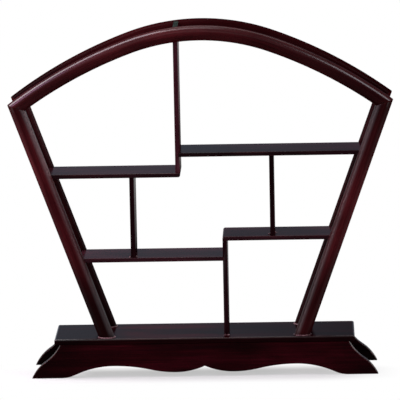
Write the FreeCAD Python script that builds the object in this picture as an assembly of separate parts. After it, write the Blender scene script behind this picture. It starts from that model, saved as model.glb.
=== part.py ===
import FreeCAD, Part
import math
import os

# Tabletop curio stand: a fan-shaped double frame of round rails on a scalloped base,
# with stepped shelves and dividers. Millimetres, +Z up, the front faces -Y,
# and the origin is on the floor under the middle of the stand.

# Fan frame, measured on the rail centrelines
shoulder_span = 340.0
shoulder_height = 255.0
arch_rise = 67.0
crown_radius = 193.0
crown_half_angle = 20.0
foot_span = 182.5
rail_diameter = 14.0
rail_spacing = 49.0

# Base
base_length = 280.0
base_margin = 2.5
base_height = 37.0
base_thickness = 5.5
base_corner_radius = 2.2
base_edge_radius = 1.6
apron_thickness = 8.0
apron_setback = 1.0
apron_top_length = 269.0
apron_foot_length = 323.0
ogee_sag = 1.35
foot_gap = 253.2
heel_radius = 30.0
scallop_span = 170.0
scallop_height = 10.8
lobe_span = 54.0
lobe_height = 4.2
lobe_share = 0.4
cusp_height = 9.9
batten_span = 216.0
batten_width = 12.0
batten_height = 10.0

# Shelves: rises and steps are from one top face to the next
lower_rise = 74.5
lower_step = 19.0
upper_rise = 79.5
upper_step = 19.0
shelf_thickness = 4.0
shelf_setback = 1.0
shelf_end_radius = 2.0
shelf_edge_radius = 0.8

# Dividers: places of the middle planes
upper_divider_x = -22.0
lower_divider_x = 20.5
left_middle_x = -65.0
right_middle_x = 65.0
divider_thickness = 4.4
divider_setback = 0.8
divider_edge_radius = 0.8
upper_divider_drop = 0.9

# Joints
fit_clearance = 0.1
housing_depth = 4.0
groove_depth = 1.2
tenon_diameter = 8.0
tenon_depth = 4.0
corner_dowel_diameter = 4.0
corner_dowel_length = 10.0
apron_dowel_diameter = 3.0
apron_dowel_length = 12.0
apron_dowel_seat = 3.5
apron_dowel_offset = 13.0

# Places that follow from the sizes above
rail_radius = rail_diameter / 2
rail_planes = {"front": -rail_spacing / 2, "back": rail_spacing / 2}
crown_height = shoulder_height + arch_rise
base_depth = rail_spacing + rail_diameter + 2 * base_margin
lower_left_top = base_height + lower_rise
lower_right_top = lower_left_top + lower_step
upper_left_top = lower_left_top + upper_rise
upper_right_top = upper_left_top + upper_step
shelf_depth = rail_spacing - 2 * shelf_setback
lean = math.atan2((shoulder_span - foot_span) / 2, shoulder_height - base_height)
shelf_end_inset = rail_radius / math.cos(lean) - housing_depth
divider_depth = shelf_depth - 2 * divider_setback
base_underside = base_height - base_thickness
apron_outer_face = base_depth / 2 - apron_setback
apron_inner_face = apron_outer_face - apron_thickness
far = 2 * (shoulder_span + crown_height)
axis_x = FreeCAD.Vector(1, 0, 0)
axis_y = FreeCAD.Vector(0, 1, 0)
axis_z = FreeCAD.Vector(0, 0, 1)
origin = FreeCAD.Vector(0, 0, 0)


def at(x, z, y=0.0):
    """Point by its place in XZ, in the middle plane or at a given y."""
    return FreeCAD.Vector(x, y, z)


def mirrored(shape):
    return shape.mirror(origin, axis_x)


def on_side(side, shape):
    return shape if side == "right" else mirrored(shape)


def prism(points, low_y, high_y):
    """Solid between two planes across Y, with a straight-sided outline in XZ."""
    corners = [at(x, z, low_y) for x, z in points]
    face = Part.Face(Part.makePolygon(corners + corners[:1]))
    return face.extrude(axis_y * (high_y - low_y))


def block(low_x, high_x, low_y, high_y, low_z, high_z):
    lowest = FreeCAD.Vector(low_x, low_y, low_z)
    return Part.makeBox(high_x - low_x, high_y - low_y, high_z - low_z, lowest)


def edges_along(shape, direction):
    """Straight edges of a shape that run along a direction."""
    found = []
    for edge in shape.Edges:
        if edge.Curve.TypeId == "Part::GeomLine":
            run = edge.Vertexes[-1].Point.sub(edge.Vertexes[0].Point)
            if run.cross(direction).Length < fit_clearance:
                found.append(edge)
    return found


# Rail centrelines
def rail_x(z):
    """Distance of an upright's centreline from the middle of the stand."""
    return foot_span / 2 + (z - base_height) * math.tan(lean)


crown_angle = math.radians(crown_half_angle)
crown_centre = at(0, crown_height - crown_radius)
crown_normal = at(math.sin(crown_angle), math.cos(crown_angle))
arc_join = crown_centre + crown_normal * crown_radius
corner = at(shoulder_span / 2, shoulder_height)
shoulder_chord = corner - arc_join
shoulder_radius = -shoulder_chord.Length ** 2 / (2 * shoulder_chord.dot(crown_normal))
shoulder_centre = arc_join - crown_normal * shoulder_radius
end_slope = math.atan2(corner.x - shoulder_centre.x, corner.z - shoulder_centre.z)


def arch_z(x):
    """Height of the arch's centreline near its crown."""
    return crown_centre.z + math.sqrt(crown_radius ** 2 - x ** 2)


# Mitre at the right shoulder: its plane halves the angle between the two rails
upright_along = at(math.sin(lean), math.cos(lean))
arch_along = at(math.cos(end_slope), -math.sin(end_slope))
mitre_along = (upright_along + arch_along).normalize()
mitre_down = (mitre_along * upright_along.dot(mitre_along) - upright_along).normalize()


def beyond_mitre(direction):
    """Everything on one side of the right-hand mitre."""
    sides = (mitre_along, mitre_along * -1)
    near = [corner + side * far for side in sides]
    points = near + [near[1] + direction * far, near[0] + direction * far]
    return prism([(p.x, p.z) for p in points], -far, far)


below_mitre = beyond_mitre(mitre_down)
above_mitre = beyond_mitre(mitre_down * -1)


# Shelves
shelves = {
    "upper_left_shelf": ("left", upper_left_top, upper_divider_x + divider_thickness / 2),
    "upper_right_shelf": (
        "right",
        upper_right_top,
        upper_divider_x + divider_thickness / 2 - groove_depth + fit_clearance,
    ),
    "lower_left_shelf": (
        "left",
        lower_left_top,
        lower_divider_x - divider_thickness / 2 + groove_depth - fit_clearance,
    ),
    "lower_right_shelf": ("right", lower_right_top, lower_divider_x - divider_thickness / 2),
}


def shelf_outline(name, play=0.0):
    """A shelf's outline in XZ, with its outer end parallel to the upright and play above and beyond it."""
    side, top, inner_x = shelves[name]
    out = 1 if side == "right" else -1
    low, high = top - shelf_thickness, top + play
    inner = inner_x - out * play
    end = [(out * (rail_x(z) - shelf_end_inset + play), z) for z in (low, high)]
    return [(inner, low), end[0], end[1], (inner, high)]


def shelf_housing(name):
    """What a shelf's ends take out of the rails and of the divider it butts against."""
    reach = shelf_depth / 2 + fit_clearance
    return prism(shelf_outline(name, fit_clearance), -reach, reach)


free_end_edges = {
    "upper_left_shelf": at(shelves["upper_left_shelf"][2], upper_left_top - shelf_thickness),
    "lower_right_shelf": at(shelves["lower_right_shelf"][2], lower_right_top),
}


def shelf_board(name):
    """A shelf before its grooves, with its free end rounded and its long edges eased."""
    board = prism(shelf_outline(name), -shelf_depth / 2, shelf_depth / 2)
    if name in free_end_edges:
        across = edges_along(board, axis_y)
        ends = [edge for edge in across if edge.CenterOfMass.isEqual(free_end_edges[name], fit_clearance)]
        board = board.makeFillet(shelf_end_radius, ends)
    return board.makeFillet(shelf_edge_radius, edges_along(board, axis_x))


# Dividers
shelf_under = {name: values[1] - shelf_thickness for name, values in shelves.items()}
dividers = {
    "upper_divider": (
        upper_divider_x,
        upper_left_top - groove_depth,
        arch_z(upper_divider_x) + rail_radius - upper_divider_drop,
    ),
    "left_middle_divider": (
        left_middle_x,
        lower_left_top - groove_depth,
        shelf_under["upper_left_shelf"] + groove_depth - fit_clearance,
    ),
    "right_middle_divider": (
        right_middle_x,
        lower_right_top - groove_depth,
        shelf_under["upper_right_shelf"] + groove_depth - fit_clearance,
    ),
    "lower_divider": (
        lower_divider_x,
        base_height - groove_depth,
        shelf_under["lower_right_shelf"] + groove_depth - fit_clearance,
    ),
}


# Dividers that stand on a shelf or carry it
shelf_dividers = {
    "upper_left_shelf": ("upper_divider", "left_middle_divider"),
    "upper_right_shelf": ("right_middle_divider",),
    "lower_left_shelf": ("left_middle_divider",),
    "lower_right_shelf": ("right_middle_divider", "lower_divider"),
}


def divider_board(name):
    x, low, high = dividers[name]
    half, reach = divider_thickness / 2, divider_depth / 2
    board = block(x - half, x + half, -reach, reach, low, high)
    return board.makeFillet(divider_edge_radius, edges_along(board, axis_z))


def divider_groove(name):
    """What a divider takes out of the boards above and below it and out of the arches."""
    x, low, high = dividers[name]
    half, reach = divider_thickness / 2 + fit_clearance, divider_depth / 2 + fit_clearance
    return block(x - half, x + half, -reach, reach, low, high + fit_clearance)


# Rails
def leaning_rod(diameter, y, low, high):
    """Round rod on the right upright's centreline, cut level at both ends."""
    start = at(rail_x(low), low, y) - upright_along * diameter
    length = (high - low) / math.cos(lean) + 2 * diameter
    rod = Part.makeCylinder(diameter / 2, length, start, upright_along)
    return rod.common(block(-far, far, -far, far, low, high))


def corner_dowel(y, play=0.0):
    """Dowel through the right shoulder, square to the mitre."""
    half = corner_dowel_length / 2 + play
    start = at(corner.x, corner.z, y) - mitre_down * half
    return Part.makeCylinder(corner_dowel_diameter / 2 + play, 2 * half, start, mitre_down)


def upright(side, y):
    top = shoulder_height + 2 * rail_diameter
    rail = leaning_rod(rail_diameter, y, base_height, top).common(below_mitre)
    tenon_foot = base_height - tenon_depth
    rail = rail.fuse(leaning_rod(tenon_diameter, y, tenon_foot, base_height + tenon_depth))
    rail = on_side(side, rail.cut(corner_dowel(y, fit_clearance)))
    ends = [shelf_housing(name) for name in shelves if shelves[name][0] == side]
    return rail.cut(Part.makeCompound(ends)).removeSplitter()


def bent_rod(centre, radius, start, end, y):
    """Round rod on an arc in XZ, with angles from the vertical towards +X."""
    along = at(math.cos(start), -math.sin(start))
    begin = centre + at(math.sin(start), math.cos(start)) * radius + axis_y * y
    circle = Part.makeCircle(rail_radius, begin, along)
    section = Part.Face(Part.Wire(circle))
    return section.revolve(centre, axis_y, math.degrees(end - start))


def arch(y):
    spare = rail_diameter / shoulder_radius
    crown = bent_rod(crown_centre, crown_radius, -crown_angle, crown_angle, y)
    shoulder = bent_rod(shoulder_centre, shoulder_radius, crown_angle, end_slope + spare, y)
    shoulder = shoulder.common(above_mitre).cut(corner_dowel(y, fit_clearance))
    rail = crown.fuse([shoulder, mirrored(shoulder)])
    return rail.cut(divider_groove("upper_divider")).removeSplitter()


# Base
def level_arc(level, end):
    """Arc from a point where it runs level to another point, both in XZ."""
    rise = end[1] - level[1]
    radius = ((end[0] - level[0]) ** 2 + rise ** 2) / (2 * rise)
    turn = math.asin((end[0] - level[0]) / radius) / 2
    middle = at(level[0] + radius * math.sin(turn), level[1] + radius * (1 - math.cos(turn)))
    return Part.Arc(at(*level), middle, at(*end)).toShape()


def sagging_arc(start, end, sag):
    """Arc between two points in XZ that leaves their chord by sag."""
    chord = at(*end) - at(*start)
    aside = chord.cross(axis_y).normalize() * sag
    return Part.Arc(at(*start), at(*start) + chord / 2 + aside, at(*end)).toShape()


def apron(low_y):
    """Board on edge with ogee ends, flat feet with rounded heels and a lobed lower edge."""
    top = (apron_top_length / 2, base_underside)
    toe = (apron_foot_length / 2, 0)
    waist = ((top[0] + toe[0]) / 2, (top[1] + toe[1]) / 2)
    heel = (foot_gap / 2, 0)
    peak = (scallop_span / 2, scallop_height)
    lobe = (lobe_span / 2, lobe_height)
    turn = tuple(a + (b - a) * lobe_share for a, b in zip(lobe, peak))
    cusp = (0, cusp_height)
    half = [
        Part.makeLine(at(0, base_underside), at(*top)),
        sagging_arc(top, waist, -ogee_sag),
        sagging_arc(waist, toe, ogee_sag),
        Part.makeLine(at(*toe), at(*heel)),
        level_arc(peak, heel),
        level_arc(peak, turn),
        level_arc(lobe, turn),
        level_arc(lobe, cusp),
        Part.makeLine(at(*cusp), at(0, base_underside)),
    ]
    outline = Part.Wire(Part.__sortEdges__(half))
    board = Part.Face(outline).extrude(axis_y * apron_thickness)
    heel_edge = at(*heel, apron_thickness / 2)
    heels = [edge for edge in edges_along(board, axis_y) if edge.CenterOfMass.isEqual(heel_edge, fit_clearance)]
    board = board.makeFillet(heel_radius, heels)
    board = board.fuse(mirrored(board)).removeSplitter()
    board.translate(axis_y * low_y)
    return board


def apron_dowel(x, y, play=0.0):
    low = base_underside + apron_dowel_seat - apron_dowel_length - play
    return Part.makeCylinder(apron_dowel_diameter / 2 + play, apron_dowel_length + 2 * play, at(x, low, y))


apron_middle = (apron_outer_face + apron_inner_face) / 2
outer_dowel_x = foot_span / 2 + apron_dowel_offset
dowel_places = [(x, y) for x in (-outer_dowel_x, 0, outer_dowel_x) for y in (-apron_middle, apron_middle)]
apron_dowel_holes = Part.makeCompound([apron_dowel(x, y, fit_clearance) for x, y in dowel_places])


def base_board():
    half_x, half_y = base_length / 2, base_depth / 2
    board = block(-half_x, half_x, -half_y, half_y, base_underside, base_height)
    board = board.makeFillet(base_corner_radius, edges_along(board, axis_z))
    rims = [edge for edge in board.Edges if edge.BoundBox.ZLength < fit_clearance]
    board = board.makeFillet(base_edge_radius, rims)
    low = base_height - tenon_depth - fit_clearance
    mortises = [
        on_side(side, leaning_rod(tenon_diameter + 2 * fit_clearance, y, low, base_height + base_thickness))
        for side in ("left", "right")
        for y in rail_planes.values()
    ]
    return board.cut(Part.makeCompound(mortises + [divider_groove("lower_divider"), apron_dowel_holes]))


def batten(x):
    reach = apron_inner_face - fit_clearance
    low = base_underside - batten_height
    return block(x - batten_width / 2, x + batten_width / 2, -reach, reach, low, base_underside)


# Assembly
nodes = {"base_top": base_board()}
nodes["front_apron"] = apron(-apron_outer_face).cut(apron_dowel_holes)
nodes["back_apron"] = apron(apron_inner_face).cut(apron_dowel_holes)
nodes["left_batten"] = batten(-batten_span / 2)
nodes["right_batten"] = batten(batten_span / 2)
nodes["apron_dowels"] = Part.makeCompound([apron_dowel(x, y) for x, y in dowel_places])

for place, plane in rail_planes.items():
    for side in ("left", "right"):
        nodes[f"{place}_{side}_upright"] = upright(side, plane)
    nodes[f"{place}_arch"] = arch(plane)
nodes["corner_dowels"] = Part.makeCompound(
    [on_side(side, corner_dowel(y)) for side in ("left", "right") for y in rail_planes.values()]
)

for name in dividers:
    nodes[name] = divider_board(name)
nodes["upper_divider"] = nodes["upper_divider"].cut(shelf_housing("upper_right_shelf"))
nodes["lower_divider"] = nodes["lower_divider"].cut(shelf_housing("lower_left_shelf"))

for name, met in shelf_dividers.items():
    grooves = Part.makeCompound([divider_groove(divider) for divider in met])
    nodes[name] = shelf_board(name).cut(grooves)

os.makedirs("parts", exist_ok=True)
for name, shape in nodes.items():
    shape.exportStep(f"parts/{name}.step")
    print(f"{name}: {len(shape.Solids)} solid(s), {shape.Volume / 1000:.2f} cm3, valid {shape.isValid()}")
print(f"shoulder radius {shoulder_radius:.1f}, lean {math.degrees(lean):.2f} degrees")
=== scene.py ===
import bmesh
import bpy
import itertools
import math
from mathutils import Matrix, Vector


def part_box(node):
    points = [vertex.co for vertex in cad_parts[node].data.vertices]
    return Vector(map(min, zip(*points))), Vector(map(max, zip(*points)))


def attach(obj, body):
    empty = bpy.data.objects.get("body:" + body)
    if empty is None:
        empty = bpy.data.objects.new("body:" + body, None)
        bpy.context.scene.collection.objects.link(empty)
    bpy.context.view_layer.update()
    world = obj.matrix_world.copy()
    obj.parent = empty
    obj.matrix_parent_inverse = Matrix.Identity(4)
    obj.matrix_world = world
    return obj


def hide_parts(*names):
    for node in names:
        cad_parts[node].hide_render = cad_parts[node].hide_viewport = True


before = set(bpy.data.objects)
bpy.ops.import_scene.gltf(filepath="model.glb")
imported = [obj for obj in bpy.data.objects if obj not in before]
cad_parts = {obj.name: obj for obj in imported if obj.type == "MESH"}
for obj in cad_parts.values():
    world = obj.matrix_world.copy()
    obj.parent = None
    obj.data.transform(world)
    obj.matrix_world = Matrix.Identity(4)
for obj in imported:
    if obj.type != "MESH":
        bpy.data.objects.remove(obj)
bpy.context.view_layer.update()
print("frame loaded:", len(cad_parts), "nodes")

mm = 0.001
acrossY = Vector((0, 1, 0))
spinAxis = Vector((0, -1, 0))  # spin turns the other way about its axis
upwards = Vector((0, 0, 1))
partNames = {"verts": "VERT", "edges": "EDGE", "faces": "FACE"}
bench = {
    "closeness": 0.02 * mm,  # places that lie this near count as one
    "straightness": 0.99,
    "weldGap": 0.001 * mm,
    "smoothAngle": math.radians(35),
    "grainJump": 0.61,  # each piece is cut from another stretch of wood
    "polishing": ((0.25, 0.0), (0.5, 1.0)),  # by how far a face turns to the side that is handled
    "paintedUnderShade": ((-1.0, 0.6), (-0.3, 1.0)),  # painted shade: faces that look down are made darker
}
stretches = (number * bench["grainJump"] for number in itertools.count(1))


# Bench tools: selecting, editing and finishing one piece at a time
def clearSelection():
    if bpy.context.object and bpy.context.object.mode != "OBJECT":
        bpy.ops.object.mode_set(mode="OBJECT")
    bpy.ops.object.select_all(action="DESELECT")


def takeUp(piece):
    clearSelection()
    piece.select_set(True)
    bpy.context.view_layer.objects.active = piece


def startEditing(piece):
    takeUp(piece)
    bpy.ops.object.mode_set(mode="EDIT")
    bpy.ops.mesh.select_mode(type="VERT")
    bpy.ops.mesh.select_all(action="SELECT")


def stopEditing():
    bpy.ops.object.mode_set(mode="OBJECT")


def pick(piece, parts, test):
    bpy.ops.mesh.select_mode(type=partNames[parts])
    bpy.ops.mesh.select_all(action="DESELECT")
    mesh = bmesh.from_edit_mesh(piece.data)
    for item in getattr(mesh, parts):
        if test(item):
            item.select_set(True)
    mesh.select_flush_mode()
    bmesh.update_edit_mesh(piece.data)


def middleOf(edge):
    return (edge.verts[0].co + edge.verts[1].co) / 2


def runsAlong(edge, axis):
    direction = (edge.verts[1].co - edge.verts[0].co).normalized()
    return abs(getattr(direction, axis)) > bench["straightness"]


def near(value, target):
    return abs(value - target) < bench["closeness"]


def easeEdges(piece, test, radius, segments, slot=1):
    # rounds the edges that pass the test; the rounded strips take the edge finish, whose lighter streaks
    # are wear and painted highlight
    pick(piece, "edges", test)
    bpy.ops.mesh.bevel(
        offset=radius, segments=segments, profile=0.5, affect="EDGES", clamp_overlap=False, material=slot
    )


def weld():
    bpy.ops.mesh.select_all(action="SELECT")
    bpy.ops.mesh.remove_doubles(threshold=bench["weldGap"])


def closeUp():
    # welds doubled points and turns every face outwards
    weld()
    bpy.ops.mesh.normals_make_consistent(inside=False)


def sawOff(point, outwards):
    # cuts the edited piece at a plane, drops what lies outwards of it and closes the cut
    bpy.ops.mesh.select_all(action="SELECT")
    bpy.ops.mesh.bisect(plane_co=point, plane_no=outwards, use_fill=True, clear_outer=True)


def scoreAcross(low, high, count):
    # adds edges across the edited piece, so that its lightness and polish can change along it
    for step in range(1, count):
        bpy.ops.mesh.select_all(action="SELECT")
        bpy.ops.mesh.bisect(plane_co=low.lerp(high, step / count), plane_no=(1, 0, 0))


def nameAndSettle(name, finishes):
    piece = bpy.context.object
    piece.name = name
    piece.data.name = name
    bpy.ops.object.transform_apply(location=True, rotation=True, scale=True)
    for finish in finishes:
        piece.data.materials.append(finish)
    return piece


def addBlock(name, low, high, finishes=()):
    clearSelection()
    bpy.ops.mesh.primitive_cube_add(size=1, location=(low + high) / 2)
    bpy.context.object.scale = high - low
    return nameAndSettle(name, finishes)


def copyPiece(piece, name, shift=(0, 0, 0), mirrored=False):
    # a copy with its own mesh, moved or mirrored to the other side
    takeUp(piece)
    bpy.ops.object.duplicate(linked=False)
    copied = bpy.context.object
    copied.name = name
    copied.data.name = name
    startEditing(copied)
    bpy.ops.transform.translate(value=shift)
    if mirrored:
        bpy.ops.transform.resize(value=(-1, 1, 1), center_override=(0, 0, 0))
        bpy.ops.mesh.normals_make_consistent(inside=False)
    stopEditing()
    return copied


def cutOut(piece, nodes, clearance):
    # makes room in the piece for the boards of other nodes
    for node in nodes:
        low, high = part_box(node)
        grow = Vector((clearance, clearance, clearance))
        cutter = addBlock(node + "Cutter", low - grow, high + grow)
        takeUp(piece)
        bpy.ops.object.modifier_add(type="BOOLEAN")
        joint = piece.modifiers[-1]
        joint.operation = "DIFFERENCE"
        joint.solver = "EXACT"
        joint.object = cutter
        bpy.ops.object.modifier_apply(modifier=joint.name)
        bpy.data.objects.remove(cutter)


def between(stops, place):
    # straight-line value between (place, value) stops
    for (low, first), (high, last) in zip(stops, stops[1:]):
        if place <= high:
            break
    share = min(max((place - low) / (high - low), 0), 1)
    return first + (last - first) * share


def evenly(point):
    return 1.0


def layGrain(piece, place, shineSide=upwards, shine=evenly, tone=evenly, turns=bench["polishing"]):
    # writes where each point lies in the wood (along the grain, across it and through it), how
    # far it is polished, which is most on the side that is handled, and how light it is; faces that look
    # down get painted shade
    layers = {"grain": "FLOAT_VECTOR", "polish": "FLOAT", "tone": "FLOAT"}
    for name, kind in layers.items():
        piece.data.attributes.new(name, kind, "POINT")
    grain, polish, lightness = [piece.data.attributes[name].data for name in layers]
    for vertex in piece.data.vertices:
        grain[vertex.index].vector = place(vertex.co)
        polish[vertex.index].value = shine(vertex.co) * between(turns, vertex.normal.dot(shineSide))
        # painted shade on faces that look down
        lightness[vertex.index].value = tone(vertex.co) * between(bench["paintedUnderShade"], vertex.normal.z)


def finishPiece(piece, node=None):
    takeUp(piece)
    bpy.ops.object.shade_smooth_by_angle(angle=bench["smoothAngle"])
    bpy.ops.object.modifier_add(type="WEIGHTED_NORMAL")
    piece.modifiers[-1].keep_sharp = True
    bpy.ops.object.modifier_apply(modifier=piece.modifiers[-1].name)
    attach(piece, "root")
    if node:
        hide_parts(node)
    print("made", piece.name, len(piece.data.polygons), "faces")


# Finishes
def addNode(tree, kind, **values):
    node = tree.nodes.new(kind)
    for key, value in values.items():
        if hasattr(node, key):
            setattr(node, key, value)
        else:
            node.inputs[key.replace("_", " ")].default_value = value
    return node


def addRamp(tree, factor, stops):
    ramp = tree.nodes.new("ShaderNodeValToRGB")
    elements = ramp.color_ramp.elements
    while len(elements) < len(stops):
        elements.new(0.5)
    for element, (place, colour) in zip(elements, stops):
        element.position = place
        element.color = (*colour, 1)
    tree.links.new(factor, ramp.inputs["Fac"])
    return ramp.outputs["Color"]


def addNoise(tree, vector, stretch, detail, roughness):
    mapping = addNode(tree, "ShaderNodeMapping")
    mapping.inputs["Scale"].default_value = stretch
    tree.links.new(vector, mapping.inputs["Vector"])
    noise = addNode(tree, "ShaderNodeTexNoise", Scale=1.0, Detail=detail, Roughness=roughness)
    tree.links.new(mapping.outputs["Vector"], noise.inputs["Vector"])
    return noise.outputs["Fac"]


def addMath(tree, operation, first, second, clamp=False):
    node = addNode(tree, "ShaderNodeMath", operation=operation, use_clamp=clamp)
    for socket, value in zip(node.inputs, (first, second)):
        if isinstance(value, (int, float)):
            socket.default_value = value
        else:
            tree.links.new(value, socket)
    return node.outputs["Value"]


def addRange(tree, value, source, target, course="LINEAR"):
    # carries a value from one range to another
    (fromLow, fromHigh), (toLow, toHigh) = source, target
    node = addNode(
        tree, "ShaderNodeMapRange", From_Min=fromLow, From_Max=fromHigh, To_Min=toLow, To_Max=toHigh
    )
    node.interpolation_type = course
    tree.links.new(value, node.inputs["Value"])
    return node.outputs["Result"]


def startFinish(name):
    finish = bpy.data.materials.new(name)
    finish.use_nodes = True
    tree = finish.node_tree
    return finish, tree, tree.nodes["Principled BSDF"]


woodFigure = {
    # noises in the wood, with their scale along the grain, across it and through it
    "bands": {"stretch": (5, 170, 170), "detail": 4, "roughness": 0.55},
    "streaks": {"stretch": (26, 900, 900), "detail": 3, "roughness": 0.6},
    "pores": {"stretch": (170, 3600, 3600), "detail": 2, "roughness": 0.5},
    "patches": {"stretch": (14, 45, 45), "detail": 2, "roughness": 0.5},
    "bandShare": 0.6,  # the rest of the figure is streaks
    "patchRange": (0.4, 0.6),
    "poreRange": (0.6, 0.72),
    "poreShade": 0.55,
    "poreDepth": 0.03 * mm,
    "poreStrength": 0.35,
    "roughRange": (0.3, 0.7),
    "roughness": (0.34, 0.5),
    # a lighter colour streaked along eased edges: wear, and painted highlight on the arrises
    "wearAndGlintRange": (0.42, 0.62),
    "wearAndGlintColour": (0.09, 0.026, 0.022, 1),
    "mostPolish": 2,
}
railWood = {
    "darkest": (0.014, 0.0009, 0.0013),
    "middle": (0.03, 0.003, 0.0041),
    "lightest": (0.046, 0.0066, 0.0078),
    "stops": (0.34, 0.5, 0.66),  # where in the figure these colours lie
    "patchSpread": 0.2,
    "wearAndGlintShare": 0.0,  # share of the lighter edge colour in the streaks: wear and painted highlight
    "polish": (0.002, 0.14),  # lacquer on dull and on polished faces
    "lacquer": {"Coat IOR": 2.2, "Coat Roughness": 0.24},
}
railEdgeWood = {**railWood, "wearAndGlintShare": 0.25}
uprightWood = {**railWood, "polish": (0.002, 0.3), "lacquer": {"Coat IOR": 2.2, "Coat Roughness": 0.42}}
boardWood = {
    "darkest": (0.004, 0.0007, 0.0012),
    "middle": (0.0092, 0.002, 0.0032),
    "lightest": (0.02, 0.005, 0.0072),
    "stops": (0.3, 0.5, 0.72),
    "patchSpread": 0.25,
    "wearAndGlintShare": 0.0,
    "polish": (0.004, 0.3),
    "lacquer": {"Coat IOR": 1.5, "Coat Roughness": 0.18},
}
boardEdgeWood = {**boardWood, "wearAndGlintShare": 0.15, "polish": (0.004, 0.4)}
baseWood = {
    "darkest": (0.005, 0.0003, 0.001),
    "middle": (0.0105, 0.0005, 0.0013),
    "lightest": (0.026, 0.0014, 0.0036),
    "stops": (0.36, 0.5, 0.68),
    "patchSpread": 0.3,
    "wearAndGlintShare": 0.0,
    "polish": (0.02, 0.28),
    "lacquer": {"Coat IOR": 1.5, "Coat Roughness": 0.18},
}
baseEdgeWood = {**baseWood, "wearAndGlintShare": 0.3}
arrisWood = {**baseWood, "polish": (0.02, 0.75)}  # the base board's upper edge, rubbed bright
innerWood = {
    "darkest": (0.02, 0.004, 0.004),
    "middle": (0.05, 0.014, 0.012),
    "lightest": (0.1, 0.035, 0.026),
    "stops": (0.3, 0.5, 0.72),
    "patchSpread": 0.25,
    "wearAndGlintShare": 0.0,
    "lacquer": {},  # left bare
}


def makeRosewood(name, wood):
    finish, tree, shader = startFinish(name)
    grain = addNode(tree, "ShaderNodeAttribute", attribute_name="grain").outputs["Vector"]
    bands, streaks, pores, patches = [
        addNoise(tree, grain, **woodFigure[noise]) for noise in ("bands", "streaks", "pores", "patches")
    ]
    share = woodFigure["bandShare"]
    figure = addMath(
        tree, "ADD", addMath(tree, "MULTIPLY", bands, share), addMath(tree, "MULTIPLY", streaks, 1 - share)
    )
    colours = (wood["darkest"], wood["middle"], wood["lightest"])
    colour = addRamp(tree, figure, list(zip(wood["stops"], colours)))
    spread = wood["patchSpread"]
    patchShade = addRange(tree, patches, woodFigure["patchRange"], (1 - spread, 1 + spread))
    poreShade = addRange(tree, pores, woodFigure["poreRange"], (1.0, woodFigure["poreShade"]))
    shaded = addNode(tree, "ShaderNodeVectorMath", operation="SCALE")
    tree.links.new(colour, shaded.inputs["Vector"])
    tone = addNode(tree, "ShaderNodeAttribute", attribute_name="tone").outputs["Fac"]
    shade = addMath(tree, "MULTIPLY", addMath(tree, "MULTIPLY", patchShade, poreShade), tone)
    tree.links.new(shade, shaded.inputs["Scale"])
    body = shaded.outputs["Vector"]
    # wear and painted highlight: a lighter colour in the streaks of eased edges
    if wood["wearAndGlintShare"]:
        wornAndLitMix = addNode(tree, "ShaderNodeMix", data_type="RGBA")
        wornAndLitMix.inputs["B"].default_value = woodFigure["wearAndGlintColour"]
        amount = addRange(tree, streaks, woodFigure["wearAndGlintRange"], (0.0, wood["wearAndGlintShare"]))
        tree.links.new(amount, wornAndLitMix.inputs["Factor"])
        tree.links.new(body, wornAndLitMix.inputs["A"])
        body = wornAndLitMix.outputs["Result"]
    tree.links.new(body, shader.inputs["Base Color"])
    roughness = addRange(tree, patches, woodFigure["roughRange"], woodFigure["roughness"])
    tree.links.new(roughness, shader.inputs["Roughness"])
    strength, depth = woodFigure["poreStrength"], woodFigure["poreDepth"]
    bump = addNode(tree, "ShaderNodeBump", Strength=strength, Distance=depth)
    tree.links.new(poreShade, bump.inputs["Height"])
    tree.links.new(bump.outputs["Normal"], shader.inputs["Normal"])
    tree.links.new(bump.outputs["Normal"], shader.inputs["Coat Normal"])
    if wood["lacquer"]:
        polish = addNode(tree, "ShaderNodeAttribute", attribute_name="polish").outputs["Fac"]
        dull, polished = wood["polish"]
        most = woodFigure["mostPolish"]
        weight = addRange(tree, polish, (0, most), (dull, dull + most * (polished - dull)))
        tree.links.new(weight, shader.inputs["Coat Weight"])
    shader.inputs["Specular IOR Level"].default_value = 0.0
    for socket, value in wood["lacquer"].items():
        shader.inputs[socket].default_value = value
    return finish


glueLook = {
    "darkest": (0.03, 0.008, 0.009),
    "lightest": (0.2, 0.11, 0.12),
    "spots": {"stretch": (600, 600, 600), "detail": 3, "roughness": 0.6},
    "spotRange": (0.42, 0.62),
    "lumpDepth": 0.1 * mm,
    "lumpStrength": 0.4,
    "roughness": 0.35,
    "specular": 0.2,
}
fillerLook = {
    **glueLook,
    "darkest": (0.005, 0.008, 0.007),
    "lightest": (0.02, 0.03, 0.025),
    "spots": {"stretch": (500, 500, 500), "detail": 3, "roughness": 0.6},
    "lumpDepth": 0.05 * mm,
    "roughness": 0.6,
    "specular": 0.0,
}


def makeMottled(name, look):
    finish, tree, shader = startFinish(name)
    place = addNode(tree, "ShaderNodeTexCoord").outputs["Object"]
    spots = addNoise(tree, place, **look["spots"])
    stops = list(zip(look["spotRange"], (look["darkest"], look["lightest"])))
    tree.links.new(addRamp(tree, spots, stops), shader.inputs["Base Color"])
    bump = addNode(tree, "ShaderNodeBump", Strength=look["lumpStrength"], Distance=look["lumpDepth"])
    tree.links.new(spots, bump.inputs["Height"])
    tree.links.new(bump.outputs["Normal"], shader.inputs["Normal"])
    shader.inputs["Roughness"].default_value = look["roughness"]
    shader.inputs["Specular IOR Level"].default_value = look["specular"]
    return finish


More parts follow.
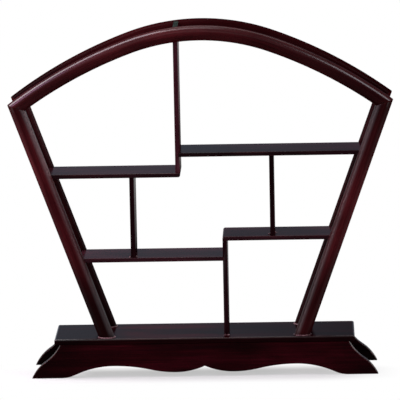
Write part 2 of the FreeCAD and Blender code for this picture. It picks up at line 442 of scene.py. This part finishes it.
# each list holds the plain finish and, where there is one, that of the eased edges, whose lighter streaks
# are wear and painted highlight
railEdge = makeRosewood("railRosewoodEdge", railEdgeWood)
railFinish = [makeRosewood("railRosewood", railWood), railEdge]
uprightFinish = [makeRosewood("uprightRosewood", uprightWood), railEdge]
boardFinish = [makeRosewood("boardRosewood", boardWood), makeRosewood("boardRosewoodEdge", boardEdgeWood)]
baseFinish = [makeRosewood("baseRosewood", baseWood), makeRosewood("baseRosewoodEdge", baseEdgeWood)]
baseTopFinish = [baseFinish[0], makeRosewood("baseRosewoodArris", arrisWood)]
innerFinish = [makeRosewood("innerRosewood", innerWood)]
glueFinish = [makeMottled("driedGlue", glueLook)]
fillerFinish = [makeMottled("endFiller", fillerLook)]
print("finishes made:", len(bpy.data.materials))


# Fan frame: sizes of the rail centrelines
fan = {
    "shoulderSpan": 340 * mm,
    "shoulderHeight": 255 * mm,
    "crownRadius": 193 * mm,
    "crownHalfAngle": math.radians(20),
    "footSpan": 182.5 * mm,
    "sides": 64,
    "uprightSteps": 44,
    "shoulderSteps": 36,
    "crownSteps": 40,
    "mitreEase": 0.45 * mm,
    "mitreSteps": 3,
    "capCorners": 12,  # a sawn face has more corners than this
    "fitClearance": 0.06 * mm,
}
uprightLook = {
    "gloss": {"front": 1.0, "back": 0.1},  # the back frame is duller
    "handledSide": Vector((-0.95, 0, 0.3)),  # of the right uprights
    "polishing": ((-0.95, 0.0), (-0.85, 0.03), (-0.65, 0.16), (-0.3, 0.02), (0.3, 0.02), (0.68, 1.0)),
    # polish of the left uprights, and how light each upright is, from foot to shoulder
    "leftShine": (
        (0.0, 0.8), (0.15, 0.85), (0.35, 0.8), (0.55, 0.75), (0.75, 1.2), (0.85, 1.5), (1.0, 1.4),
    ),
    "tone": {
        ("front", "left"): (
            (0.0, 0.25), (0.14, 0.22), (0.2, 0.32), (0.27, 0.55), (0.42, 1.2), (0.5, 1.2), (0.56, 1.0),
            (0.63, 0.95), (0.77, 1.65), (0.84, 1.3), (0.9, 1.0), (0.96, 0.7), (1.0, 0.65),
        ),
        ("front", "right"): (
            (0.0, 0.6), (0.2, 0.6), (0.42, 1.05), (0.5, 1.05),
            (0.57, 1.6), (0.66, 1.2), (0.78, 0.6), (1.0, 0.4),
        ),
        ("back", "left"): ((0.0, 0.3), (0.2, 0.3), (0.4, 0.55), (0.6, 0.7), (1.0, 1.0)),
        ("back", "right"): ((0.0, 0.3), (1.0, 0.6)),
    },
}
archLook = {
    "gloss": {"front": 1.0, "back": 0.015},
    "polishing": ((0.25, 0.07), (0.5, 1.0)),
    # polish, and how light each arch is, from left to right; the back arch is darker, and the front arch's
    # right half is made darker as painted shade
    "shine": ((-1.0, 1.3), (-0.7, 1.0), (0.1, 1.0), (0.3, 0.65), (0.6, 1.2), (1.0, 1.0)),
    "tone": {
        "front": (
            (-1.0, 0.75), (-0.62, 0.75), (-0.34, 1.15), (0.0, 1.3),
            (0.15, 1.0), (0.3, 0.6), (0.6, 0.6), (1.0, 0.5),
        ),
        "back": ((-1.0, 0.28), (-0.6, 0.35), (-0.34, 0.7), (0.0, 0.5), (0.35, 0.28), (1.0, 0.25)),
    },
}
# shelves that are let into the uprights of each side
housed = {
    "left": ("upper_left_shelf", "lower_left_shelf"),
    "right": ("upper_right_shelf", "lower_right_shelf"),
}
railLow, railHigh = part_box("front_arch")
railRadius = (railHigh.y - railLow.y) / 2
railPlane = (railLow.y + railHigh.y) / 2
baseLow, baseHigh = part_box("base_top")
toBack = Vector((0, -2 * railPlane, 0))
lean = math.atan2((fan["shoulderSpan"] - fan["footSpan"]) / 2, fan["shoulderHeight"] - baseHigh.z)
crownCentre = Vector((0, railPlane, railHigh.z - railRadius - fan["crownRadius"]))
crownNormal = Vector((math.sin(fan["crownHalfAngle"]), 0, math.cos(fan["crownHalfAngle"])))
arcJoin = crownCentre + crownNormal * fan["crownRadius"]
shoulder = Vector((fan["shoulderSpan"] / 2, railPlane, fan["shoulderHeight"]))
shoulderChord = shoulder - arcJoin
shoulderRadius = -shoulderChord.length_squared / (2 * shoulderChord.dot(crownNormal))
shoulderCentre = arcJoin - crownNormal * shoulderRadius
endSlope = math.atan2(shoulder.x - shoulderCentre.x, shoulder.z - shoulderCentre.z)
uprightFoot = Vector((fan["footSpan"] / 2, railPlane, baseHigh.z))
uprightAlong = Vector((math.sin(lean), 0, math.cos(lean)))
archAlong = Vector((math.cos(endSlope), 0, -math.sin(endSlope)))
mitreAlong = (uprightAlong + archAlong).normalized()
mitreDown = (mitreAlong * uprightAlong.dot(mitreAlong) - uprightAlong).normalized()


def flipX(point):
    return Vector((-point.x, point.y, point.z))


def easeMitres(piece):
    # takes the sharpness off the sawn faces at the shoulders
    def onMitre(edge):
        caps = [face for face in edge.link_faces if len(face.verts) > fan["capCorners"]]
        return any(face.calc_center_median().z > shoulder.z - railRadius for face in caps)

    easeEdges(piece, onMitre, fan["mitreEase"], fan["mitreSteps"])


def makeUpright():
    # the front right upright, before its housings
    spare = 2 * railRadius
    length = (fan["shoulderHeight"] - baseHigh.z) / math.cos(lean) + 2 * spare
    clearSelection()
    bpy.ops.mesh.primitive_circle_add(
        vertices=fan["sides"],
        radius=railRadius,
        location=uprightFoot - uprightAlong * spare,
        rotation=(0, lean, 0),
    )
    piece = nameAndSettle("frontRightUpright", uprightFinish)
    startEditing(piece)
    step = uprightAlong * length / fan["uprightSteps"]
    for count in range(fan["uprightSteps"]):
        bpy.ops.mesh.extrude_region_move(TRANSFORM_OT_translate={"value": step})
    sawOff(uprightFoot, (0, 0, -1))
    sawOff(shoulder, -mitreDown)
    closeUp()
    easeMitres(piece)
    stopEditing()
    return piece


def finishUpright(piece, place, side):
    cutOut(piece, housed[side], fan["fitClearance"])
    stretch = next(stretches)
    foot, along, inwards = uprightFoot, uprightAlong, uprightLook["handledSide"]
    if place == "back":
        foot = foot + toBack
    if side == "left":
        foot, along, inwards = flipX(foot), flipX(along), flipX(inwards)

    def grainAt(point):
        arm = point - foot
        return Vector((arm.dot(along) + stretch, arm.cross(along).y, arm.y))

    def height(point):
        return (point.z - foot.z) / (shoulder.z - foot.z)

    def toneAt(point):
        return between(uprightLook["tone"][place, side], height(point))

    def shineAt(point):
        worn = between(uprightLook["leftShine"], height(point)) if side == "left" else 1.0
        return uprightLook["gloss"][place] * worn

    layGrain(piece, grainAt, inwards, shineAt, toneAt, uprightLook["polishing"])
    finishPiece(piece, f"{place}_{side}_upright")


def makeArch():
    # the front arch, before its notch for the divider
    spare = 2 * railRadius / shoulderRadius
    start = -(endSlope + spare)
    bend = endSlope + spare - fan["crownHalfAngle"]
    begin = flipX(shoulderCentre) + Vector((math.sin(start), 0, math.cos(start))) * shoulderRadius
    clearSelection()
    bpy.ops.mesh.primitive_circle_add(
        vertices=fan["sides"], radius=railRadius, location=begin, rotation=(0, math.pi / 2 + start, 0)
    )
    piece = nameAndSettle("frontArch", railFinish)
    startEditing(piece)
    for centre, angle, steps in (
        (flipX(shoulderCentre), bend, fan["shoulderSteps"]),
        (crownCentre, 2 * fan["crownHalfAngle"], fan["crownSteps"]),
        (shoulderCentre, bend, fan["shoulderSteps"]),
    ):
        bpy.ops.mesh.spin(steps=steps, angle=angle, center=centre, axis=spinAxis)
    sawOff(shoulder, mitreDown)
    sawOff(flipX(shoulder), flipX(mitreDown))
    closeUp()
    easeMitres(piece)
    stopEditing()
    return piece


def finishArch(piece, place):
    cutOut(piece, ["upper_divider"], fan["fitClearance"])
    stretch = next(stretches)
    plane = railPlane if place == "front" else railPlane + toBack.y

    def grainAt(point):
        # distance along the bent rail from its crown, and how far out of the bend
        out = abs(point.x)
        slope = math.atan2(out, point.z - crownCentre.z)
        if slope < fan["crownHalfAngle"]:
            along = fan["crownRadius"] * slope
            aside = math.hypot(out, point.z - crownCentre.z) - fan["crownRadius"]
        else:
            armX, armZ = out - shoulderCentre.x, point.z - shoulderCentre.z
            turn = math.atan2(armX, armZ) - fan["crownHalfAngle"]
            along = fan["crownRadius"] * fan["crownHalfAngle"] + shoulderRadius * turn
            aside = math.hypot(armX, armZ) - shoulderRadius
        return Vector((math.copysign(along, point.x) + stretch, aside, point.y - plane))

    def toneAt(point):
        return between(archLook["tone"][place], point.x / shoulder.x)

    def shineAt(point):
        return archLook["gloss"][place] * between(archLook["shine"], point.x / shoulder.x)

    layGrain(piece, grainAt, upwards, shineAt, toneAt, archLook["polishing"])
    finishPiece(piece, place + "_arch")


glueBead = {
    "radius": 0.95 * mm,
    "ringSteps": 72,
    "sectionSteps": 12,
    "lumps": 0.6 * mm,
    "smoothFactor": 0.5,
    "smoothing": 3,
    "seed": 7,
}


def makeGlueBead():
    # glue squeezed out round the foot of the front right upright
    clearSelection()
    bpy.ops.mesh.primitive_torus_add(
        location=uprightFoot,
        major_segments=glueBead["ringSteps"],
        minor_segments=glueBead["sectionSteps"],
        major_radius=railRadius,
        minor_radius=glueBead["radius"],
    )
    piece = nameAndSettle("frontRightBead", glueFinish)
    startEditing(piece)
    bpy.ops.transform.resize(value=(1 / math.cos(lean), 1, 1), center_override=uprightFoot)
    bpy.ops.transform.vertex_random(offset=glueBead["lumps"], normal=1.0, seed=glueBead["seed"])
    bpy.ops.mesh.vertices_smooth(factor=glueBead["smoothFactor"], repeat=glueBead["smoothing"])
    sawOff(uprightFoot, (0, 0, -1))
    closeUp()
    stopEditing()
    return piece


frontRight = makeUpright()
uprights = {
    ("front", "right"): frontRight,
    ("back", "right"): copyPiece(frontRight, "backRightUpright", toBack),
    ("front", "left"): copyPiece(frontRight, "frontLeftUpright", mirrored=True),
    ("back", "left"): copyPiece(frontRight, "backLeftUpright", toBack, mirrored=True),
}
for (place, side), piece in uprights.items():
    finishUpright(piece, place, side)
frontArch = makeArch()
backArch = copyPiece(frontArch, "backArch", toBack)
finishArch(frontArch, "front")
finishArch(backArch, "back")
frontRightBead = makeGlueBead()
beads = [
    frontRightBead,
    copyPiece(frontRightBead, "backRightBead", toBack),
    copyPiece(frontRightBead, "frontLeftBead", mirrored=True),
    copyPiece(frontRightBead, "backLeftBead", toBack, mirrored=True),
]
for piece in beads:
    finishPiece(piece)
print("fan frame made")


# Shelves and dividers
boards = {
    "easeRadius": 0.8 * mm,
    "easeSteps": 4,
    "endRadius": 2 * mm,
    "endSteps": 7,
    "frontTone": 0.85,  # a shelf's front and back edges are darker than its top
    "shelfPolishing": ((0.25, 0.1), (0.5, 1.0)),
    "tone": {  # how light each board is; the lower left shelf, in the upper left shelf's shade, and the upper divider are made lighter as painted light
        "upper_left_shelf": 1.15,
        "upper_right_shelf": 0.95,
        "lower_left_shelf": 2.8,
        "lower_right_shelf": 1.9,
        "upper_divider": 3.3,
        "lower_divider": 0.9,
        "left_middle_divider": 0.8,
        "right_middle_divider": 0.5,
    },
    "shine": {  # polish at the left and at the right end
        "upper_left_shelf": (1.15, 1.05),
        "upper_right_shelf": (1.1, 0.66),
        "lower_left_shelf": (1.2, 1.15),
        "lower_right_shelf": (0.95, 0.88),
    },
}
# boards that are let into each board
meeting = {
    "upper_left_shelf": ("upper_divider", "left_middle_divider"),
    "upper_right_shelf": ("right_middle_divider",),
    "lower_left_shelf": ("left_middle_divider",),
    "lower_right_shelf": ("right_middle_divider", "lower_divider"),
    "upper_divider": ("upper_right_shelf",),
    "lower_divider": ("lower_left_shelf",),
    "left_middle_divider": (),
    "right_middle_divider": (),
}


def pieceName(node):
    first, *rest = node.split("_")
    return first + "".join(word.capitalize() for word in rest)


def slantEnd(piece, node, low, high):
    # lays a shelf's outer end along its leaning upright
    outer = low.x if "left" in node else high.x
    pick(piece, "verts", lambda vert: near(vert.co.x, outer) and near(vert.co.z, low.z))
    inwards = -math.copysign((high.z - low.z) * math.tan(lean), outer)
    bpy.ops.transform.translate(value=(inwards, 0, 0))


def roundFreeEnd(piece, x, z):
    def isEnd(edge):
        return runsAlong(edge, "y") and near(middleOf(edge).x, x) and near(middleOf(edge).z, z)

    easeEdges(piece, isEnd, boards["endRadius"], boards["endSteps"], slot=0)


def makeBoard(node):
    low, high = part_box(node)
    stretch = next(stretches)
    isShelf = node.endswith("shelf")
    filled = fillerFinish if node == "upper_divider" else []
    piece = addBlock(pieceName(node), low, high, boardFinish + filled)
    startEditing(piece)
    if isShelf:
        slantEnd(piece, node, low, high)
    if node == "upper_left_shelf":
        roundFreeEnd(piece, high.x, low.z)
    if node == "lower_right_shelf":
        roundFreeEnd(piece, low.x, high.z)

    def onFrontOrBack(edge):
        return all(near(abs(vert.co.y), high.y) for vert in edge.verts) and not runsAlong(edge, "y")

    easeEdges(piece, onFrontOrBack, boards["easeRadius"], boards["easeSteps"])
    closeUp()
    if filled:
        # its end shows between the arches and is filled
        pick(piece, "faces", lambda face: near(face.calc_center_median().z, high.z))
        piece.active_material_index = len(boardFinish)
        bpy.ops.object.material_slot_assign()
    stopEditing()
    cutOut(piece, meeting[node], fan["fitClearance"])

    def grainAt(point):
        arm = point - (low + high) / 2
        along, through = (arm.x, arm.z) if isShelf else (arm.z, arm.x)
        return Vector((along + stretch, arm.y, through))

    def shineAt(point):
        left, right = boards["shine"].get(node, (1.0, 1.0))
        return between(((low.x, left), (high.x, right)), point.x)

    def toneAt(point):
        onEdge = isShelf and abs(point.y) > high.y - boards["easeRadius"] / 2
        return boards["tone"][node] * (boards["frontTone"] if onEdge else 1)

    turns = boards["shelfPolishing"] if isShelf else bench["polishing"]
    layGrain(piece, grainAt, upwards, shineAt, toneAt, turns)
    finishPiece(piece, node)


glueDrop = {
    "size": (1.7 * mm, 2.2 * mm, 0.9 * mm),
    "aroundSteps": 24,
    "ringSteps": 12,
    "lumps": 0.3 * mm,
    "smoothFactor": 0.5,
    "smoothing": 2,
    "seed": 3,
    # a divider, what it stands on, side of its foot, how far out of it and how far from its front end
    "places": {
        "lowerDividerDrop": ("lower_divider", "base_top", 0, -0.8 * mm, -0.4 * mm),
        "lowerDividerSecondDrop": ("lower_divider", "base_top", 0, 1.5 * mm, -0.2 * mm),
        "rightMiddleDividerDrop": ("right_middle_divider", "lower_right_shelf", -1, 0.5 * mm, 9 * mm),
        "rightMiddleDividerSecondDrop": ("right_middle_divider", "lower_right_shelf", 1, 0.5 * mm, 16 * mm),
        "leftMiddleDividerDrop": ("left_middle_divider", "lower_left_shelf", -1, 0.3 * mm, 5 * mm),
        "leftMiddleDividerSecondDrop": ("left_middle_divider", "lower_left_shelf", 1, 0.3 * mm, 7 * mm),
    },
}


def makeGlueDrop(name, place):
    clearSelection()
    bpy.ops.mesh.primitive_uv_sphere_add(
        segments=glueDrop["aroundSteps"], ring_count=glueDrop["ringSteps"], radius=1, location=place
    )
    bpy.context.object.scale = glueDrop["size"]
    piece = nameAndSettle(name, glueFinish)
    startEditing(piece)
    bpy.ops.transform.vertex_random(offset=glueDrop["lumps"], normal=1.0, seed=glueDrop["seed"])
    bpy.ops.mesh.vertices_smooth(factor=glueDrop["smoothFactor"], repeat=glueDrop["smoothing"])
    sawOff(place, (0, 0, -1))
    closeUp()
    stopEditing()
    return piece


def placeOfDrop(divider, ground, side, out, along):
    low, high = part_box(divider)
    middle = (low.x + high.x) / 2
    x = middle + out if side == 0 else middle + side * ((high.x - low.x) / 2 + out)
    return Vector((x, low.y + along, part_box(ground)[1].z))


for node in meeting:
    makeBoard(node)
spots = {name: placeOfDrop(*values) for name, values in glueDrop["places"].items()}
(firstName, firstSpot), *otherSpots = spots.items()
firstDrop = makeGlueDrop(firstName, firstSpot)
drops = [firstDrop]
for name, spot in otherSpots:
    drops.append(copyPiece(firstDrop, name, spot - firstSpot))
for piece in drops:
    finishPiece(piece)
print("shelves and dividers made")


# Base: the top board, two scalloped aprons and the battens under the top
baseTop = {
    "cornerRadius": 2.2 * mm,
    "cornerSteps": 6,
    "edgeRadius": 1.6 * mm,
    "edgeSteps": 6,
    "cuts": 20,
    # how light the top and the sides are, and their polish, from left to right; the top's stops are painted
    # light and shade, standing in for the shadows that fall on it
    "tone": (
        (-1.0, 0.2), (-0.75, 0.35), (-0.62, 0.7), (-0.5, 1.5),
        (-0.1, 1.4), (0.2, 0.8), (0.45, 0.5), (1.0, 0.7),
    ),
    "sideTone": (
        (-0.96, 0.5), (-0.85, 0.55), (-0.57, 0.55), (-0.3, 0.22),
        (0.0, 0.45), (0.26, 0.4), (0.89, 0.5), (1.0, 0.35),
    ),
    "shine": ((-1.0, 1.35), (-0.7, 1.25), (-0.5, 1.08), (0.1, 1.0), (0.45, 0.85), (1.0, 0.6)),
}


def makeBaseTop():
    stretch = next(stretches)
    piece = addBlock("baseTop", baseLow, baseHigh, baseTopFinish)
    startEditing(piece)

    def isCorner(edge):
        return runsAlong(edge, "z")

    easeEdges(piece, isCorner, baseTop["cornerRadius"], baseTop["cornerSteps"], slot=0)
    for level, slot in ((baseHigh.z, 1), (baseLow.z, 0)):  # only the upper rim is rubbed bright

        def onRim(edge):
            return not runsAlong(edge, "z") and near(middleOf(edge).z, level)

        easeEdges(piece, onRim, baseTop["edgeRadius"], baseTop["edgeSteps"], slot)
    scoreAcross(baseLow, baseHigh, baseTop["cuts"])
    closeUp()
    stopEditing()
    cutOut(piece, ["lower_divider"], fan["fitClearance"])

    def toneAt(point):
        onSide = point.z < baseHigh.z - baseTop["edgeRadius"] / 2
        return between(baseTop["sideTone" if onSide else "tone"], point.x / baseHigh.x)

    layGrain(
        piece,
        lambda point: Vector((point.x + stretch, point.y, point.z)),
        shine=lambda point: between(baseTop["shine"], point.x / baseHigh.x),
        tone=toneAt,
    )
    finishPiece(piece, "base_top")


apron = {
    "topLength": 269 * mm,
    "footLength": 323 * mm,
    "ogeeSag": 1.35 * mm,
    "footGap": 253.2 * mm,
    "scallopSpan": 170 * mm,
    "scallopHeight": 10.8 * mm,
    "lobeSpan": 54 * mm,
    "lobeHeight": 4.2 * mm,
    "lobeShare": 0.4,
    "cuspHeight": 9.9 * mm,
    "heelRadius": 30 * mm,
    "easeRadius": 0.8 * mm,
    "easeSteps": 4,
    "arcStep": 1.4 * mm,
    "fewestSteps": 4,
    "cuts": 30,
    "backPaintedShade": 0.35,  # painted shade: the back apron, which lies in shade behind the front one, is made darker
    "tone": (  # from left to right
        (-1.0, 0.3), (-0.9, 0.35), (-0.8, 0.65), (-0.7, 0.95), (-0.46, 1.65), (-0.3, 1.4), (-0.12, 1.05),
        (0.0, 1.05), (0.12, 0.85), (0.23, 0.8), (0.35, 1.3), (0.6, 1.35), (0.7, 1.25), (0.85, 0.95),
        (1.0, 0.75),
    ),
}


def levelCentre(level, end):
    # centre of the arc that runs level at one point and passes through another
    rise = end.z - level.z
    return level + Vector((0, 0, ((end.x - level.x) ** 2 + rise ** 2) / (2 * rise)))


def sagCentre(start, end, sag):
    # centre of the arc that leaves the chord of two points by sag
    chord = end - start
    radius = (chord.length_squared / 4 + sag ** 2) / (2 * sag)
    return (start + end) / 2 + chord.cross(acrossY).normalized() * (sag - radius)


def sweepTo(start, end, centre):
    # spins the selected point about a centre, drawing an arc
    arms = [point - centre for point in (start, end)]
    first, last = [math.atan2(arm.x, arm.z) for arm in arms]
    angle = (last - first + math.pi) % (2 * math.pi) - math.pi
    steps = max(apron["fewestSteps"], round(abs(angle) * arms[0].length / apron["arcStep"]))
    bpy.ops.mesh.spin(steps=steps, angle=angle, center=centre, axis=spinAxis)


def drawTo(start, end):
    bpy.ops.mesh.extrude_region_move(TRANSFORM_OT_translate={"value": end - start})


def makeApron():
    # the front apron: half its outline drawn, filled, thickened and mirrored
    low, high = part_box("front_apron")

    def at(x, z):
        return Vector((x, low.y, z))

    middle = at(0, high.z)
    top = at(apron["topLength"] / 2, high.z)
    toe = at(apron["footLength"] / 2, 0)
    waist = (top + toe) / 2
    heel = at(apron["footGap"] / 2, 0)
    peak = at(apron["scallopSpan"] / 2, apron["scallopHeight"])
    lobe = at(apron["lobeSpan"] / 2, apron["lobeHeight"])
    turn = lobe.lerp(peak, apron["lobeShare"])
    cusp = at(0, apron["cuspHeight"])
    # the heel is rounded by an arc that touches the ground and the scallop's arc
    archCentre = levelCentre(peak, heel)
    archRadius = (heel - archCentre).length
    reach = archRadius + apron["heelRadius"]
    drop = apron["heelRadius"] - archCentre.z
    heelCentre = archCentre + Vector((math.sqrt(reach ** 2 - drop ** 2), 0, drop))
    footEnd = at(heelCentre.x, 0)
    heelEnd = archCentre.lerp(heelCentre, archRadius / reach)
    clearSelection()
    bpy.ops.mesh.primitive_plane_add(size=mm, location=middle)
    piece = nameAndSettle("frontApron", baseFinish)
    startEditing(piece)
    bpy.ops.mesh.merge(type="CENTER")
    drawTo(middle, top)
    sweepTo(top, waist, sagCentre(top, waist, -apron["ogeeSag"]))
    sweepTo(waist, toe, sagCentre(waist, toe, apron["ogeeSag"]))
    drawTo(toe, footEnd)
    sweepTo(footEnd, heelEnd, heelCentre)
    sweepTo(heelEnd, peak, archCentre)
    sweepTo(peak, turn, levelCentre(peak, turn))
    sweepTo(turn, lobe, levelCentre(lobe, turn))
    sweepTo(lobe, cusp, levelCentre(lobe, cusp))
    weld()
    bpy.ops.mesh.edge_face_add()
    drawTo(middle, middle + acrossY * (high.y - low.y))
    pick(piece, "faces", lambda face: all(near(vert.co.x, 0) for vert in face.verts))
    bpy.ops.mesh.delete(type="FACE")
    stopEditing()
    bpy.ops.object.modifier_add(type="MIRROR")
    piece.modifiers[-1].use_clip = True
    bpy.ops.object.modifier_apply(modifier=piece.modifiers[-1].name)
    startEditing(piece)
    closeUp()

    def isSeam(edge):
        return all(near(vert.co.x, 0) for vert in edge.verts) and not runsAlong(edge, "y")

    def isRim(edge):
        return not runsAlong(edge, "y") and not all(near(vert.co.z, high.z) for vert in edge.verts)

    pick(piece, "edges", isSeam)
    bpy.ops.mesh.dissolve_edges()
    easeEdges(piece, isRim, apron["easeRadius"], apron["easeSteps"])
    scoreAcross(low, high, apron["cuts"])
    closeUp()
    stopEditing()
    return piece


def finishApron(piece, place):
    stretch = next(stretches)
    # painted shade on the back apron
    darker = apron["backPaintedShade"] if place == "back" else 1.0
    layGrain(
        piece,
        lambda point: Vector((point.x + stretch, point.z, point.y)),
        shine=lambda point: 0.0 if near(point.z, baseLow.z) else 1.0,  # its glued upper edge is dull
        tone=lambda point: between(apron["tone"], 2 * point.x / apron["footLength"]) * darker,
    )
    finishPiece(piece, place + "_apron")


batten = {"easeRadius": 0.8 * mm, "easeSteps": 3}


def makeBatten():
    low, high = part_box("right_batten")
    piece = addBlock("rightBatten", low, high, innerFinish)
    startEditing(piece)

    def isLowEdge(edge):
        return runsAlong(edge, "y") and near(middleOf(edge).z, low.z)

    easeEdges(piece, isLowEdge, batten["easeRadius"], batten["easeSteps"], slot=0)
    closeUp()
    stopEditing()
    return piece


def finishBatten(piece, side):
    stretch = next(stretches)
    layGrain(piece, lambda point: Vector((point.y + stretch, point.x, point.z)))
    finishPiece(piece, side + "_batten")


makeBaseTop()
frontApron = makeApron()
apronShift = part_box("back_apron")[0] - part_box("front_apron")[0]
backApron = copyPiece(frontApron, "backApron", apronShift)
finishApron(frontApron, "front")
finishApron(backApron, "back")
rightBatten = makeBatten()
leftBatten = copyPiece(rightBatten, "leftBatten", mirrored=True)
finishBatten(rightBatten, "right")
finishBatten(leftBatten, "left")
for node in ("corner_dowels", "apron_dowels"):  # hidden, so they keep their own shape
    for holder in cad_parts[node].material_slots:
        holder.material = innerFinish[0]
print("base made")


# Floor, lights and camera
floorPaper = {
    "size": 60.0,
    "colour": (0.485, 0.51, 0.5, 1),
    "roughness": 1.0,
    "specular": 0.0,
    # the strip of ground that the stand shades most, along its front feet
    "shadeMiddle": (-0.025, -0.025, 0.0),
    "shadeHalf": (0.13, 0.012, 0.0),
    "glow": (0.5, 1.0),  # share of plain white in what is seen of the floor, there and far from it
    "fade": 0.03,
    "fadeShare": (0.35, 1, 1),  # slower to the sides
}
studioWorld = {
    "horizon": (0.34, 0.4, 0.51),
    "middle": (0.12, 0.12, 0.13),
    "middleAt": 0.5,
    "zenith": (0.3, 0.3, 0.3),
    "strength": 1.0,
}
# azimuth is from the front towards the right, in degrees; sizes in metres
softBoxes = {
    "topLeftBox": {
        "azimuth": -100, "elevation": 56, "distance": 2.0,
        "size": (0.8, 1.5), "power": 66, "colour": (1, 0.87, 0.95),
    },
    "topBox": {
        "azimuth": -90, "elevation": 84, "distance": 2.0,
        "size": (0.7, 0.7), "power": 8.5, "colour": (1, 0.9, 0.93),
    },
    "topRightBox": {
        "azimuth": 66, "elevation": 45, "distance": 2.0,
        "size": (0.6, 0.7), "power": 13, "colour": (0.95, 0.92, 1),
    },
    "backBox": {
        "azimuth": 172, "elevation": 52, "distance": 2.0,
        "size": (1.2, 0.8), "power": 9, "colour": (1, 1, 1),
    },
    "frontLeftBox": {
        "azimuth": -58, "elevation": 39, "distance": 2.0,
        "size": (0.5, 0.6), "power": 9, "colour": (1, 0.55, 0.95),
    },
    "leftSideBox": {
        "azimuth": -90, "elevation": 9, "distance": 2.5,
        "size": (1.3, 0.6), "power": 17, "colour": (1, 0.78, 0.79),
    },
    "leftBackBox": {
        "azimuth": -124, "elevation": 6.8, "distance": 2.5,
        "size": (1.3, 0.45), "power": 1.5, "colour": (1, 0.9, 0.9),
    },
    "rightSideBox": {
        "azimuth": 98, "elevation": 16, "distance": 1.2,
        "size": (1.2, 0.13), "power": 5.2, "colour": (1, 0.68, 0.73),
    },
    "rightBackBox": {
        "azimuth": 128, "elevation": 6, "distance": 1.6,
        "size": (0.9, 0.3), "power": 1.6, "colour": (1, 0.9, 0.9),
    },
    "frontBox": {
        "azimuth": -10, "elevation": 26, "distance": 3.0,
        "size": (3.0, 2.0), "power": 21, "colour": (1, 1, 1),
    },
}
view = {
    "target": Vector((-2.4, 0, 161.2)) * mm,
    "azimuth": math.radians(1.5),
    "elevation": math.radians(10.3),
    "distance": 3843.4 * mm,
    "roll": math.radians(1.13),
    "lens": 370.6,
    "sensor": 36,
    "farthest": 100,
}


def makeFloor():
    finish, tree, shader = startFinish("floorPaper")
    clearSelection()
    bpy.ops.mesh.primitive_plane_add(size=floorPaper["size"])
    floor = nameAndSettle("floor", [finish])
    shader.inputs["Base Color"].default_value = floorPaper["colour"]
    shader.inputs["Roughness"].default_value = floorPaper["roughness"]
    shader.inputs["Specular IOR Level"].default_value = floorPaper["specular"]
    rays = addNode(tree, "ShaderNodeLightPath").outputs
    seen = addMath(tree, "ADD", rays["Is Camera Ray"], rays["Is Glossy Ray"])
    seen = addMath(tree, "ADD", seen, rays["Is Transmission Ray"], clamp=True)
    # how far a place lies out of the shaded strip
    reach = addNode(tree, "ShaderNodeTexCoord").outputs["Object"]
    for operation, values in (
        ("SUBTRACT", floorPaper["shadeMiddle"]),
        ("ABSOLUTE", None),
        ("SUBTRACT", floorPaper["shadeHalf"]),
        ("MAXIMUM", (0, 0, 0)),
        ("MULTIPLY", floorPaper["fadeShare"]),
    ):
        step = addNode(tree, "ShaderNodeVectorMath", operation=operation)
        tree.links.new(reach, step.inputs[0])
        if values:
            step.inputs[1].default_value = values
        reach = step.outputs["Vector"]
    distance = addNode(tree, "ShaderNodeVectorMath", operation="LENGTH")
    tree.links.new(reach, distance.inputs[0])
    fade = (0.0, floorPaper["fade"])
    share = addRange(tree, distance.outputs["Value"], fade, floorPaper["glow"], "SMOOTHSTEP")
    glow = addNode(tree, "ShaderNodeEmission")
    blend = addNode(tree, "ShaderNodeMixShader")
    tree.links.new(addMath(tree, "MULTIPLY", seen, share), blend.inputs["Fac"])
    tree.links.new(shader.outputs["BSDF"], blend.inputs[1])
    tree.links.new(glow.outputs["Emission"], blend.inputs[2])
    tree.links.new(blend.outputs["Shader"], tree.nodes["Material Output"].inputs["Surface"])


def makeWorld():
    world = bpy.data.worlds.new("studioWorld")
    bpy.context.scene.world = world
    world.use_nodes = True
    tree = world.node_tree
    split = addNode(tree, "ShaderNodeSeparateXYZ")
    tree.links.new(addNode(tree, "ShaderNodeTexCoord").outputs["Generated"], split.inputs["Vector"])
    places = (0.0, studioWorld["middleAt"], 1.0)
    colours = (studioWorld["horizon"], studioWorld["middle"], studioWorld["zenith"])
    stops = list(zip(places, colours))
    background = tree.nodes["Background"]
    tree.links.new(addRamp(tree, split.outputs["Z"], stops), background.inputs["Color"])
    background.inputs["Strength"].default_value = studioWorld["strength"]


def towards(azimuth, elevation):
    return Vector(
        (
            math.cos(elevation) * math.sin(azimuth),
            -math.cos(elevation) * math.cos(azimuth),
            math.sin(elevation),
        )
    )


def makeSoftBox(name, values):
    light = bpy.data.lights.new(name, "AREA")
    light.shape = "RECTANGLE"
    light.size, light.size_y = values["size"]
    light.energy = values["power"]
    light.color = values["colour"]
    box = bpy.data.objects.new(name, light)
    bpy.context.scene.collection.objects.link(box)
    direction = towards(math.radians(values["azimuth"]), math.radians(values["elevation"]))
    box.location = view["target"] + direction * values["distance"]
    box.rotation_euler = direction.to_track_quat("Z", "Y").to_euler()


def makeCamera():
    lens = bpy.data.cameras.new("camera")
    lens.sensor_width = view["sensor"]
    lens.lens = view["lens"]
    lens.clip_end = view["farthest"]
    camera = bpy.data.objects.new("camera", lens)
    bpy.context.scene.collection.objects.link(camera)
    back = towards(view["azimuth"], view["elevation"])
    level = Vector((math.cos(view["azimuth"]), math.sin(view["azimuth"]), 0))
    rise = back.cross(level)
    right = math.cos(view["roll"]) * level - math.sin(view["roll"]) * rise
    upright = math.sin(view["roll"]) * level + math.cos(view["roll"]) * rise
    camera.matrix_world = Matrix((right, upright, back)).transposed().to_4x4()
    camera.location = view["target"] + back * view["distance"]
    bpy.context.scene.camera = camera


makeFloor()
makeWorld()
for name, values in softBoxes.items():
    makeSoftBox(name, values)
makeCamera()
bpy.context.scene.view_settings.view_transform = "Standard"
print("floor, lights and camera made")
